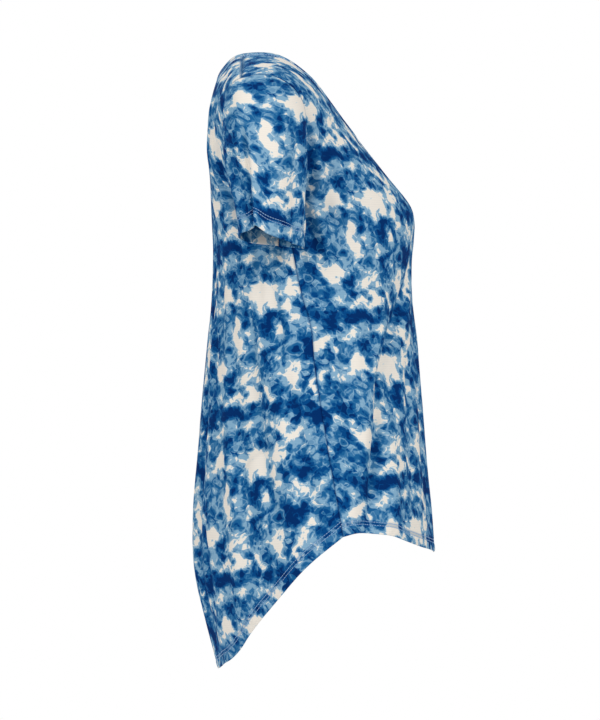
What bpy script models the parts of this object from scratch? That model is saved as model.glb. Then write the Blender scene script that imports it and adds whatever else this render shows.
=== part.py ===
"""A woman's short-sleeved jersey tee in its worn, hollow form.

Scoop neck with a narrow band, set-in short sleeves, and a curved hem that is much longer behind.
Metres, +Z up. The wearer faces -Y and the wearer's right is -X. The origin is midway between the
two points where the shoulder seams meet the neckband, which is where the shoulders carry the tee.

Every piece is cut from one form. The form is a strip that runs from the back hem over the shoulder
to the front hem: `run` is 0 on the shoulder seam, positive down the front and negative down the
back. `across` is 0 on the centre line and 1 on the armhole or the side seam. Below the underarm
the run is simply the distance below the origin. Places are written as x to the side, f forward
and z up, so a point lies at (x, -f, z).
"""
import math

import bmesh
import bpy
import numpy as np

WALL = 0.0012
SEAM_GAP = 0.0003

# The underarm point, where armhole and side seam meet, lies this far below the origin.
UNDERARM = 0.178
# The corner of the edge line there dies out towards the middle: a higher power keeps it closer.
CORNER_POWER = 5

# Sections over the chest and the upper back, from the middle out to the armhole.
# mid: the centre line. edge: the armhole. yaw: how far the cloth has turned from facing forward
# (or back) to facing sideways there, dip: how steeply it falls outward, both in degrees.
# reach: how far the cloth runs on straight, from the middle and back from the edge.
YOKE_COLUMNS = ("run", "mid_f", "mid_z", "edge_x", "edge_f", "edge_z",
                "mid_dip", "yaw", "dip", "mid_reach", "edge_reach")
YOKE = (
    (-0.160, -0.0370, -0.155, 0.153, 0.010, -0.162, 0, 80, 1, 0.112, 0.046),
    (-0.130, -0.0380, -0.119, 0.160, -0.012, -0.130, 0, 58, 3, 0.096, 0.040),
    (-0.100, -0.0376, -0.084, 0.166, -0.018, -0.098, 0, 38, 8, 0.080, 0.042),
    (-0.070, -0.0345, -0.048, 0.173, -0.018, -0.072, 3, 28, 14, 0.074, 0.046),
    (-0.035, -0.0230, -0.008, 0.181, -0.011, -0.048, 10, 14, 21, 0.068, 0.052),
    (0.000, 0.0030, 0.0195, 0.186, 0.003, -0.0375, 12, 0, 26, 0.066, 0.058),
    (0.030, 0.0455, 0.0140, 0.184, 0.034, -0.0335, 9, 10, 25, 0.066, 0.055),
    (0.060, 0.0805, -0.0150, 0.176, 0.062, -0.0480, 6, 24, 20, 0.068, 0.050),
    (0.090, 0.1085, -0.0535, 0.166, 0.0745, -0.0700, 3, 38, 12, 0.070, 0.050),
    (0.120, 0.1385, -0.0960, 0.158, 0.073, -0.1040, 0, 52, 5, 0.078, 0.060),
    (0.150, 0.1720, -0.1385, 0.152, 0.067, -0.1460, 0, 74, 1, 0.088, 0.078),
)

# Level sections of the tube below the armholes, front and back apart.
# fullness: 0.55 makes a quarter ellipse and more makes it squarer, at the middle and at the side.
TUBE_COLUMNS = ("down", "mid_f", "mid_fullness", "side_fullness")
FRONT_TUBE = (
    (0.178, 0.2030, 0.62, 0.58),
    (0.194, 0.2068, 0.63, 0.58),
    (0.215, 0.2062, 0.63, 0.58),
    (0.245, 0.2032, 0.62, 0.58),
    (0.285, 0.2042, 0.60, 0.57),
    (0.340, 0.2092, 0.57, 0.56),
    (0.410, 0.2150, 0.55, 0.56),
    (0.490, 0.2210, 0.54, 0.56),
    (0.560, 0.2285, 0.53, 0.56),
    (0.640, 0.2360, 0.53, 0.56),
)
BACK_TUBE = (
    (0.178, -0.0365, 0.83, 0.93),
    (0.230, -0.0345, 0.78, 0.80),
    (0.280, -0.0355, 0.71, 0.68),
    (0.340, -0.0405, 0.64, 0.60),
    (0.410, -0.0470, 0.57, 0.56),
    (0.480, -0.0530, 0.54, 0.55),
    (0.545, -0.0575, 0.52, 0.55),
    (0.610, -0.0560, 0.51, 0.55),
    (0.670, -0.0440, 0.49, 0.55),
    (0.740, -0.0265, 0.44, 0.55),
)

# The side seam, shared by front and back.
# Columns: down, side_x, side_f.
SIDE_SEAM = (
    (0.178, 0.150, 0.048),
    (0.230, 0.155, 0.060),
    (0.280, 0.161, 0.070),
    (0.323, 0.166, 0.082),
    (0.374, 0.174, 0.087),
    (0.422, 0.182, 0.0948),
    (0.464, 0.189, 0.1016),
    (0.562, 0.203, 0.1186),
    (0.650, 0.211, 0.131),
    (0.740, 0.215, 0.142),
)

# How far the hem hangs below the origin, from the centre line to the side seam.
# Columns: across, down.
FRONT_HEM = ((0.00, 0.588), (0.30, 0.581), (0.51, 0.571), (0.71, 0.560),
             (0.82, 0.557), (0.91, 0.558), (1.00, 0.562))
BACK_HEM = ((0.00, 0.7296), (0.20, 0.7235), (0.35, 0.709), (0.50, 0.679),
            (0.70, 0.630), (0.85, 0.594), (1.00, 0.562))

# The neck opening seen from above: ovals about one point, for the band's free edge and its seam.
NECK_CENTRE_F = 0.020
# roundness: 2 makes an ellipse and more makes it squarer.
NECK_EDGE = {"half_width": 0.0885, "front": 0.112, "back": 0.045}
NECK_SEAM = {"half_width": 0.0990, "front": 0.1195, "back": 0.0510}
NECK_ROUNDNESS = 2.35

# The largest folds, as soft ridges (positive) and troughs (negative) that run down a panel.
# side: -1 the wearer's right, 1 the left. across: its place at the top and at the bottom.
# top and bottom are runs. width: to where it dies out on either hand.
FOLD_COLUMNS = ("panel", "side", "across_top", "across_bottom", "top", "bottom", "width", "depth")
FOLDS = (
    ("front", -1, 0.905, 0.835, 0.095, 0.190, 0.021, 0.004),
    ("front", -1, 0.260, 0.820, 0.235, 0.562, 0.042, -0.008),
    ("front", 1, 0.900, 0.840, 0.100, 0.185, 0.022, 0.004),
    ("front", 1, 0.300, 0.720, 0.250, 0.562, 0.046, -0.007),
    ("front", 1, 0.080, 0.160, 0.330, 0.580, 0.048, -0.004),
    ("back", -1, 0.160, 0.170, 0.240, 0.700, 0.036, -0.006),
    ("back", -1, 0.300, 0.320, 0.240, 0.690, 0.036, 0.005),
    ("back", -1, 0.580, 0.640, 0.310, 0.640, 0.050, -0.006),
    ("back", 1, 0.240, 0.280, 0.270, 0.700, 0.045, -0.006),
    ("back", 1, 0.450, 0.520, 0.260, 0.670, 0.040, 0.004),
    ("back", 1, 0.680, 0.700, 0.350, 0.620, 0.048, -0.005),
)
FOLD_FADE = 0.090
NOMINAL_HALF_GIRTH = 0.26

# The sleeve's hem ring on one side, from the underarm seam forward, out, back and in again.
# Columns: around, x, f, z.
SLEEVE_HEM = (
    (0.000, 0.1600, 0.0450, -0.2290),
    (0.120, 0.1760, 0.0670, -0.2320),
    (0.250, 0.2020, 0.0745, -0.2325),
    (0.380, 0.2300, 0.0600, -0.2270),
    (0.480, 0.2460, 0.0330, -0.2180),
    (0.550, 0.2450, 0.0190, -0.2110),
    (0.640, 0.2350, 0.0075, -0.2145),
    (0.760, 0.2100, -0.0010, -0.2205),
    (0.890, 0.1770, 0.0120, -0.2260),
    (1.000, 0.1600, 0.0450, -0.2290),
)
# The direction in which the sleeve leaves the armhole, below level, at its top and underarm.
SLEEVE_DIP_TOP = 27.0
SLEEVE_DIP_UNDERARM = 66.0
SLEEVE_REACH = 1.05
SLEEVE_SWAY = 0.12
# Troughs (negative) and ridges that deepen down the sleeve to its hem.
SLEEVE_FOLD_COLUMNS = ("side", "around", "width", "depth")
SLEEVE_FOLDS = (
    (-1, 0.610, 0.085, -0.0050),
    (-1, 0.350, 0.120, -0.0020),
    (1, 0.640, 0.090, -0.0040),
    (1, 0.300, 0.110, -0.0025),
)

# Faces of each piece: across a half panel, down the yoke and down the tube, along the sleeve.
HALF_PANEL_FACES = 18
YOKE_FACES = 14
TUBE_FACES = 17
SLEEVE_FACES = 8
NECK_FACES = {"front": 9, "back": 6}
# A narrow face beside a seam holds its wall square to the cloth, as a share of the way there.
SEAM_FACE = 0.012

COLOURS = {
    "front": (0.10, 0.24, 0.52, 1.0),
    "back": (0.08, 0.20, 0.46, 1.0),
    "sleeve_right": (0.14, 0.30, 0.58, 1.0),
    "sleeve_left": (0.14, 0.30, 0.58, 1.0),
    "neckband": (0.05, 0.12, 0.30, 1.0),
}


def smooth_table(rows, corners=()):
    """A curve through the rows (key, values...) of a table, smooth but at the corner keys.

    Gives a function that reads the values at any key between the first and the last.
    """
    keys = np.array([row[0] for row in rows], float)
    values = np.array([row[1:] for row in rows], float)
    gaps = np.diff(keys)[:, None]
    lifts = np.diff(values, axis=0) / gaps
    inner = (lifts[:-1] * gaps[1:] + lifts[1:] * gaps[:-1]) / (gaps[:-1] + gaps[1:])
    leaving = np.concatenate([lifts[:1], inner])
    arriving = np.concatenate([inner, lifts[-1:]])
    at_corner = np.isin(keys, corners)
    leaving = np.where(at_corner[:-1, None], lifts, leaving)
    arriving = np.where(at_corner[1:, None], lifts, arriving)

    def read(key):
        key = np.clip(np.asarray(key, float), keys[0], keys[-1])
        row = np.clip(np.searchsorted(keys, key, side="right") - 1, 0, len(keys) - 2)
        gap = gaps[row]
        t = (key - keys[row])[..., None] / gap
        start = values[row] * (1 + 2 * t) + leaving[row] * gap * t
        end = values[row + 1] * (3 - 2 * t) - arriving[row] * gap * (1 - t)
        return start * (1 - t) ** 2 + end * t ** 2

    return read


side_seam = smooth_table(SIDE_SEAM)
front_hem = smooth_table([(-across, down) for across, down in FRONT_HEM[:0:-1]] + list(FRONT_HEM))
back_hem = smooth_table([(-across, down) for across, down in BACK_HEM[:0:-1]] + list(BACK_HEM))
sleeve_hem = smooth_table(SLEEVE_HEM)


def edge_rows():
    """The line of both armholes and the side seam, from back hem to front hem."""
    rows = [(-down, x, f, -down) for down, x, f in reversed(SIDE_SEAM)]
    rows += [(row[0],) + row[3:6] for row in YOKE]
    return rows + [(down, x, f, -down) for down, x, f in SIDE_SEAM]


def yoke_section(row):
    """Run, middle point, and how the section leaves the middle and arrives at the armhole."""
    c = dict(zip(YOKE_COLUMNS, row))
    turn = math.radians(c["yaw"]) * (-1 if c["run"] > 0 else 1)
    dip = math.radians(c["dip"])
    mid_dip = math.radians(c["mid_dip"])
    leave = (c["mid_reach"] * math.cos(mid_dip), 0.0, -c["mid_reach"] * math.sin(mid_dip))
    level = c["edge_reach"] * math.cos(dip)
    arrive = (level * math.cos(turn), level * math.sin(turn), -c["edge_reach"] * math.sin(dip))
    return (c["run"], 0.0, c["mid_f"], c["mid_z"]) + leave + arrive


def tube_section(row, way):
    """The same for a level section between the centre line and the side seam."""
    c = dict(zip(TUBE_COLUMNS, row))
    side_x, side_f = side_seam(c["down"])
    leave = (side_x * c["mid_fullness"], 0.0, 0.0)
    arrive = (0.0, (side_f - c["mid_f"]) * c["side_fullness"], 0.0)
    return (way * c["down"], 0.0, c["mid_f"], -c["down"]) + leave + arrive


def section_table():
    """All sections in one table, from the back hem over the shoulder to the front hem."""
    rows = [tube_section(row, -1) for row in reversed(BACK_TUBE)]
    rows += [yoke_section(row) for row in YOKE]
    rows += [tube_section(row, 1) for row in FRONT_TUBE]
    return smooth_table(rows)


edge_line = smooth_table(edge_rows(), corners=(-UNDERARM, UNDERARM))
soft_edge = smooth_table(edge_rows())
sections = section_table()


def smooth_form(across, run):
    """The unfolded form on the wearer's left side, as x, f, z."""
    across, run = np.broadcast_arrays(np.asarray(across, float), np.asarray(run, float))
    middle, leave, arrive = np.split(sections(run), 3, axis=-1)
    edge = soft_edge(run)
    t = across[..., None]
    near_middle = middle * (1 - t) + (middle + leave) * 3 * t
    near_edge = (edge - arrive) * 3 * (1 - t) + edge * t
    corner = (edge_line(run) - edge) * t ** CORNER_POWER
    return near_middle * (1 - t) ** 2 + near_edge * t ** 2 + corner


def unit(vectors):
    return vectors / np.linalg.norm(vectors, axis=-1, keepdims=True)


def form_normal(across, run):
    """Outward direction of the unfolded form, on the wearer's left side."""
    step = 0.002
    sideways = smooth_form(np.minimum(across + step, 1), run) - smooth_form(np.maximum(across - step, 0), run)
    along = smooth_form(across, run + step) - smooth_form(across, run - step)
    return unit(np.cross(sideways, along))


def ease(value):
    """0 to 1 with a soft start and end."""
    value = np.clip(value, 0, 1)
    return value * value * (3 - 2 * value)


def fold_depth(across, run, side):
    """How far the folds stand out of the form there, in metres."""
    total = np.zeros(np.broadcast(across, run).shape)
    down = np.abs(run)
    for row in FOLDS:
        fold = dict(zip(FOLD_COLUMNS, row))
        on_this_panel = (run >= 0) == (fold["panel"] == "front")
        place = side * np.where(on_this_panel, across, 2 - across)
        way = (down - fold["top"]) / (fold["bottom"] - fold["top"])
        line = fold["across_top"] + (fold["across_bottom"] - fold["across_top"]) * np.clip(way, 0, 1)
        off = np.abs(place - fold["side"] * line) * NOMINAL_HALF_GIRTH / fold["width"]
        bell = 0.5 + 0.5 * np.cos(math.pi * np.clip(off, 0, 1))
        fade = ease((down - fold["top"]) / FOLD_FADE) * ease((fold["bottom"] - down) / FOLD_FADE + 1)
        total += fold["depth"] * bell * fade
    return total


def form_point(across, run, side):
    """The folded cloth's outer face, as x, f, z. side is -1 for the wearer's right."""
    place = smooth_form(across, run)
    place = place + form_normal(across, run) * fold_depth(across, run, side)[..., None]
    return place * np.array([side, 1.0, 1.0])


def evenly(points, *columns, count):
    """Read the columns at evenly spaced distances along a line of points."""
    steps = np.linalg.norm(np.diff(points, axis=0), axis=1)
    distance = np.concatenate([[0.0], np.cumsum(steps)])
    wanted = np.linspace(0, distance[-1], count + 1)
    return [np.interp(wanted, distance, column) for column in columns]


def neck_line(oval, panel, count):
    """across and run of a neck oval on one half panel, from the shoulder seam to the centre."""
    way = 1 if panel == "front" else -1

    def inside(across, run):
        place = smooth_form(across, run)
        off_f = place[..., 1] - NECK_CENTRE_F
        depth = np.where(off_f > 0, oval["front"], oval["back"])
        sideways = (place[..., 0] / oval["half_width"]) ** NECK_ROUNDNESS
        return sideways + (np.abs(off_f) / depth) ** NECK_ROUNDNESS < 1

    low, high = 0.0, UNDERARM
    for _ in range(40):
        middle = (low + high) / 2
        if inside(0.0, way * middle):
            low = middle
        else:
            high = middle
    end = low
    run = way * end * np.sin(np.linspace(0, math.pi / 2, 240))
    low, high = np.zeros_like(run), np.ones_like(run)
    for _ in range(40):
        middle = (low + high) / 2
        within = inside(middle, run)
        low = np.where(within, middle, low)
        high = np.where(within, high, middle)
    low[-1] = 0.0
    return evenly(smooth_form(low, run), low, run, count=count)


def with_seam_face(values, place):
    """Add a narrow step at the start (place 1) or at the end (place -1) of evenly stepped values."""
    end, beside = (values[0], values[1]) if place == 1 else (values[-1], values[-2])
    return np.insert(values, place, end + (beside - end) * SEAM_FACE * len(values))


def armhole_runs(panel):
    """Runs of evenly spaced points on an armhole, from the shoulder to the underarm."""
    way = 1 if panel == "front" else -1
    run = way * np.linspace(0, UNDERARM, 240)
    return with_seam_face(evenly(smooth_form(1.0, run), run, count=YOKE_FACES - 1)[0], 1)


def neck_points(oval, panel):
    """across and run of the points along a neck oval where the panel's rows start."""
    line = neck_line(oval, panel, NECK_FACES[panel] - 1)
    return [with_seam_face(values, 1) for values in line]


def panel_rows(panel):
    """across and run of every row of a half panel: arrays of rows by columns."""
    way = 1 if panel == "front" else -1
    inner_across, inner_run = neck_points(NECK_SEAM, panel)
    chest = np.linspace(inner_run[-1], way * UNDERARM, YOKE_FACES - NECK_FACES[panel] + 1)[1:]
    inner_across = np.concatenate([inner_across, np.zeros(len(chest))])[:, None]
    inner_run = np.concatenate([inner_run, chest])[:, None]
    outer_run = armhole_runs(panel)[:, None]
    share = with_seam_face(np.linspace(0, 1, HALF_PANEL_FACES), -1)[None, :]
    across = inner_across + (1 - inner_across) * share
    run = inner_run + (outer_run - inner_run) * share
    hem = (front_hem if panel == "front" else back_hem)(share[0])[:, 0]
    down = np.linspace(0, 1, TUBE_FACES + 1)[1:, None]
    tube_run = way * (UNDERARM + (hem[None, :] - UNDERARM) * down)
    across = np.concatenate([across, np.repeat(share, TUBE_FACES, axis=0)])
    run = np.concatenate([run, tube_run])
    return across, run


def draw_in(points, neighbours):
    """Move an edge half a seam gap towards the row beside it."""
    return points + unit(neighbours - points) * SEAM_GAP / 2


def half_panel(panel, side):
    """Outer face of a half panel as rows of points, its seam edges drawn in."""
    across, run = panel_rows(panel)
    points = form_point(across, run, side)
    points[:, -1] = draw_in(points[:, -1], points[:, -2])
    points[0] = draw_in(points[0], points[1])
    neck = NECK_FACES[panel]
    points[:neck, 0] = draw_in(points[:neck, 0], points[:neck, 1])
    points[neck, 0] = draw_in(points[neck, 0], points[neck + 1, 0])
    return points


def sleeve_columns():
    """Run and place around the sleeve of each armhole point, from the underarm to the front."""
    front = armhole_runs("front")[::-1]
    back = armhole_runs("back")[1:]
    runs = np.concatenate([front, back])
    return runs, np.linspace(0, 1, len(runs))


def sleeve_fold_depth(around, down, side):
    """How far the sleeve's folds stand out, deepening from half way down to the hem."""
    total = np.zeros(np.broadcast(around, down).shape)
    for row in SLEEVE_FOLDS:
        fold = dict(zip(SLEEVE_FOLD_COLUMNS, row))
        if fold["side"] == side:
            off = np.clip(np.abs(around - fold["around"]) / fold["width"], 0, 1)
            total += fold["depth"] * (0.5 + 0.5 * np.cos(math.pi * off)) * ease(down * 1.5 - 0.5)
    return total


def sleeve(side):
    """Outer face of a sleeve as rows of points, from the armhole down to its hem."""
    runs, around = sleeve_columns()
    start = form_point(np.ones(len(runs)), runs, side) * np.array([side, 1, 1])
    end = sleeve_hem(around)
    height = 0.5 - 0.5 * np.cos(2 * math.pi * around)
    dip = np.radians(SLEEVE_DIP_UNDERARM + (SLEEVE_DIP_TOP - SLEEVE_DIP_UNDERARM) * height)
    sway = SLEEVE_SWAY * np.sin(2 * math.pi * around)
    leave = unit(np.stack([np.cos(dip), sway, -np.sin(dip)], axis=1))
    hang = np.array([0.06, 0.0, -1.0])
    length = np.linalg.norm(end - start, axis=1)[:, None] * SLEEVE_REACH
    way = with_seam_face(np.linspace(0, 1, SLEEVE_FACES), 1)
    rows = []
    for t in way:
        rows.append(start * (1 + 2 * t) * (1 - t) ** 2 + leave * length * t * (1 - t) ** 2
                    + end * (3 - 2 * t) * t ** 2 - hang * length * t ** 2 * (1 - t))
    points = np.array(rows)
    centre = points.mean(axis=1, keepdims=True)
    outward = unit((points - centre) * np.array([1, 1, 0]))
    points = points + outward * sleeve_fold_depth(around, way[:, None], side)[..., None]
    points[0] = draw_in(points[0], points[1])
    return points * np.array([side, 1, 1])


def neck_strip(panel, side):
    """Outer face of the neckband on one half panel, from its seam to its free edge."""
    seam = np.array(neck_points(NECK_SEAM, panel))
    edge = np.array(neck_points(NECK_EDGE, panel))
    share = with_seam_face(np.linspace(0, 1, 3), 1)
    points = np.array([form_point(*(seam + (edge - seam) * way), side) for way in share])
    points[0] = draw_in(points[0], points[1])
    return points


def cloth_mesh(name, patches):
    """One mesh from patches of points: a flat grid for each, carried to its place and joined."""
    mesh = bmesh.new()
    for points, outward in patches:
        rows, columns = points.shape[:2]
        grid = bmesh.ops.create_grid(mesh, x_segments=columns - 1, y_segments=rows - 1, size=1.0)["verts"]
        faces = {face for vert in grid for face in vert.link_faces}
        for vert in grid:
            column = round((vert.co.x + 1) / 2 * (columns - 1))
            row = round((vert.co.y + 1) / 2 * (rows - 1))
            x, f, z = points[row, column]
            vert.co = (x, -f, z)
        for face in faces:
            face.normal_update()
        facing = sum(face.normal.dot(outward(face.calc_center_median())) for face in faces)
        if facing < 0:
            bmesh.ops.reverse_faces(mesh, faces=list(faces))
    bmesh.ops.remove_doubles(mesh, verts=mesh.verts, dist=0.00005)
    data = bpy.data.meshes.new(name)
    mesh.to_mesh(data)
    mesh.free()
    data.shade_smooth()
    return data


def away_from(x, f, z):
    """A direction field that points away from a line or a point inside the garment."""
    def outward(place):
        return place.__class__((place.x - x, place.y + f, place.z - z))
    return outward


def add_piece(name, patches, collection):
    """A named cloth piece with its wall and its own material."""
    data = cloth_mesh(name, patches)
    piece = bpy.data.objects.new(name, data)
    collection.objects.link(piece)
    wall = piece.modifiers.new("wall", "SOLIDIFY")
    wall.thickness = WALL
    wall.offset = -1.0
    wall.use_even_offset = True
    wall.use_quality_normals = True
    material = bpy.data.materials.new(name)
    material.use_nodes = True
    shader = material.node_tree.nodes["Principled BSDF"]
    shader.inputs["Base Color"].default_value = COLOURS[name]
    shader.inputs["Roughness"].default_value = 0.85
    shader.inputs["Metallic"].default_value = 0.0
    data.materials.append(material)
    return piece


def build():
    for old in list(bpy.data.objects):
        bpy.data.objects.remove(old)
    collection = bpy.data.collections.new("t_shirt")
    bpy.context.scene.collection.children.link(collection)
    middle = away_from(0.0, 0.08, -0.30)
    for panel in ("front", "back"):
        add_piece(panel, [(half_panel(panel, side), middle) for side in (-1, 1)], collection)
    for name, side in (("sleeve_right", -1), ("sleeve_left", 1)):
        add_piece(name, [(sleeve(side), away_from(side * 0.195, 0.035, -0.15))], collection)
    strips = [(neck_strip(panel, side), away_from(0.0, 0.03, -0.30))
              for panel in ("front", "back") for side in (-1, 1)]
    add_piece("neckband", strips, collection)


build()
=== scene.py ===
"""The looks of a woman's short-sleeved jersey tee in its worn, hollow form.

Each cut piece is a thin jersey shell on the form of its solid, with turned hems, creases, seams and
twin-needle stitching, in a blue and cream dyed print. Metres, +Z up. The wearer faces -Y. Places
are written as x to the side, f forward and z up, so a point lies at (x, -f, z).

The tee is cut from one form. `run` is 0 on the shoulder seam, positive down the front and negative
down the back. `across` is 0 on the centre line and 1 on the armhole or the side seam. Below the
underarm the run is the distance below the origin, which lies between the shoulders. `side` is -1 on
the wearer's right and 1 on the left.
"""
import math

import bmesh
import bpy
import numpy as np
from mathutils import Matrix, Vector


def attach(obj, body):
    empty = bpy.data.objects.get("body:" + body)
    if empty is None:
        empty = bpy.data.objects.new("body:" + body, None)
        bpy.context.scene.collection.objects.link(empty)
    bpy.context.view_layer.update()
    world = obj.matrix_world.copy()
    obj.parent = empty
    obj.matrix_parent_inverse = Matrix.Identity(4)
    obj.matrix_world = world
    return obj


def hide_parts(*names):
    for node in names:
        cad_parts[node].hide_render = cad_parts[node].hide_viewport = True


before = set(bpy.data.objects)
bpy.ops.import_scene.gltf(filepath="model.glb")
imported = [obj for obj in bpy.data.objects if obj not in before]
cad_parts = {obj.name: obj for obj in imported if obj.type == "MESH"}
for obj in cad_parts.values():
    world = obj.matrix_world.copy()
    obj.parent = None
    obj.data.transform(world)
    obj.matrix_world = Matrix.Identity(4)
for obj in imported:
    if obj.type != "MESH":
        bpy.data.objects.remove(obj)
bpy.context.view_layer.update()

SIDES = (-1, 1)
WAYS = {"front": 1, "back": -1}
JERSEY = 0.0007
UNDERARM = 0.178
CORNER_POWER = 5
FORM_STEP = 0.002

# Sections over the chest and the upper back, as in the solids.
YOKE_COLUMNS = ("run", "mid_f", "mid_z", "edge_x", "edge_f", "edge_z",
                "mid_dip", "yaw", "dip", "mid_reach", "edge_reach")
YOKE = (
    (-0.16, -0.037, -0.155, 0.153, 0.01, -0.162, 0, 80, 1, 0.112, 0.046),
    (-0.13, -0.038, -0.119, 0.16, -0.012, -0.13, 0, 58, 3, 0.096, 0.04),
    (-0.1, -0.0376, -0.084, 0.166, -0.018, -0.098, 0, 38, 8, 0.08, 0.042),
    (-0.07, -0.0345, -0.048, 0.173, -0.018, -0.072, 3, 28, 14, 0.074, 0.046),
    (-0.035, -0.023, -0.008, 0.181, -0.011, -0.048, 10, 14, 21, 0.068, 0.052),
    (0.0, 0.003, 0.0195, 0.186, 0.003, -0.0375, 12, 0, 26, 0.066, 0.058),
    (0.03, 0.0455, 0.014, 0.184, 0.034, -0.0335, 9, 10, 25, 0.066, 0.055),
    (0.06, 0.0805, -0.015, 0.176, 0.062, -0.048, 6, 24, 20, 0.068, 0.05),
    (0.09, 0.1085, -0.0535, 0.166, 0.0745, -0.07, 3, 38, 12, 0.07, 0.05),
    (0.12, 0.1385, -0.096, 0.158, 0.073, -0.104, 0, 52, 5, 0.078, 0.06),
    (0.15, 0.172, -0.1385, 0.152, 0.067, -0.146, 0, 74, 1, 0.088, 0.078),
)
# Level sections of the tube below the armholes.
TUBE_COLUMNS = ("down", "mid_f", "mid_fullness", "side_fullness")
FRONT_TUBE = (
    (0.178, 0.203, 0.62, 0.58),
    (0.194, 0.2068, 0.63, 0.58),
    (0.215, 0.2062, 0.63, 0.58),
    (0.245, 0.2032, 0.62, 0.58),
    (0.285, 0.2042, 0.6, 0.57),
    (0.34, 0.2092, 0.57, 0.56),
    (0.41, 0.215, 0.55, 0.56),
    (0.49, 0.221, 0.54, 0.56),
    (0.56, 0.2285, 0.53, 0.56),
    (0.64, 0.236, 0.53, 0.56),
)
BACK_TUBE = (
    (0.178, -0.0365, 0.83, 0.93),
    (0.23, -0.0345, 0.78, 0.8),
    (0.28, -0.0355, 0.71, 0.68),
    (0.34, -0.0405, 0.64, 0.6),
    (0.41, -0.047, 0.57, 0.56),
    (0.48, -0.053, 0.54, 0.55),
    (0.545, -0.0575, 0.52, 0.55),
    (0.61, -0.056, 0.51, 0.55),
    (0.67, -0.044, 0.49, 0.55),
    (0.74, -0.0265, 0.44, 0.55),
)
# Columns: down, side_x, side_f.
SIDE_SEAM = (
    (0.178, 0.15, 0.048),
    (0.23, 0.155, 0.06),
    (0.28, 0.161, 0.07),
    (0.323, 0.166, 0.082),
    (0.374, 0.174, 0.087),
    (0.422, 0.182, 0.0948),
    (0.464, 0.189, 0.1016),
    (0.562, 0.203, 0.1186),
    (0.65, 0.211, 0.131),
    (0.74, 0.215, 0.142),
)
# Columns: across, down. WAVER is how far each hem wavers on its way to the side seam.
HEM_LINES = {
    "front": ((0.00, 0.588), (0.30, 0.581), (0.51, 0.571), (0.71, 0.560),
              (0.82, 0.557), (0.91, 0.558), (1.00, 0.562)),
    "back": ((0.00, 0.7296), (0.20, 0.7212), (0.35, 0.709), (0.50, 0.679),
             (0.70, 0.630), (0.85, 0.594), (1.00, 0.562)),
}
WAVER = {"front": 0.0003, "back": 0.0012}
WAVER_TURNS = 3

# The slope of the back sections at the centre line, by run, which is rounded off over this width.
NAPE_RIDGE = ((-0.095, -0.070, -0.035, 0.0), (0.0, 0.052, 0.176, 0.21))
NAPE_WIDTH = 0.012

NECK_CENTRE_F = 0.020
NECK_EDGE = {"half_width": 0.0885, "front": 0.112, "back": 0.045}
NECK_SEAM = {"half_width": 0.0990, "front": 0.1195, "back": 0.0510}
NECK_ROUNDNESS = 2.35
BISECTIONS = 40

# Columns: around, x, f, z.
SLEEVE_HEM = (
    (0.0, 0.16, 0.045, -0.229),
    (0.12, 0.176, 0.067, -0.232),
    (0.25, 0.202, 0.0745, -0.2325),
    (0.38, 0.23, 0.06, -0.227),
    (0.48, 0.246, 0.033, -0.218),
    (0.55, 0.245, 0.019, -0.209),
    (0.64, 0.235, 0.0075, -0.2145),
    (0.76, 0.21, -0.001, -0.2205),
    (0.89, 0.177, 0.012, -0.226),
    (1.0, 0.16, 0.045, -0.229),
)
# How steeply a sleeve leaves the armhole, in degrees, how it hangs at its hem, and its sizes.
SLEEVE_DIP_TOP = 27.0
SLEEVE_DIP_UNDERARM = 66.0
SLEEVE_REACH = 1.05
SLEEVE_SWAY = 0.12
SLEEVE_HANG = (0.06, 0.0, -1.0)
SLEEVE_RING = 0.31
SLEEVE_LENGTH = 0.17
SLEEVE_PRINT_BOW = 0.015

# The large folds of the solids, by half panel: soft ridges (positive) and troughs (negative).
FOLD_COLUMNS = ("across_top", "across_bottom", "top", "bottom", "width", "depth")
FOLDS = {
    ("front", -1): (
        (0.905, 0.835, 0.095, 0.19, 0.021, 0.004),
        (0.26, 0.82, 0.235, 0.562, 0.042, -0.008),
    ),
    ("front", 1): (
        (0.9, 0.84, 0.1, 0.185, 0.022, 0.004),
        (0.3, 0.72, 0.25, 0.562, 0.046, -0.007),
        (0.08, 0.16, 0.33, 0.58, 0.048, -0.004),
    ),
    ("back", -1): (
        (0.16, 0.17, 0.24, 0.655, 0.036, -0.006),
        (0.3, 0.32, 0.24, 0.69, 0.036, 0.005),
        (0.58, 0.64, 0.31, 0.64, 0.05, -0.006),
    ),
    ("back", 1): (
        (0.24, 0.28, 0.27, 0.7, 0.045, -0.006),
        (0.45, 0.52, 0.26, 0.67, 0.04, 0.004),
        (0.68, 0.7, 0.35, 0.62, 0.048, -0.005),
    ),
}
FOLD_FADE = 0.090
HALF_GIRTH = 0.26

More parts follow.
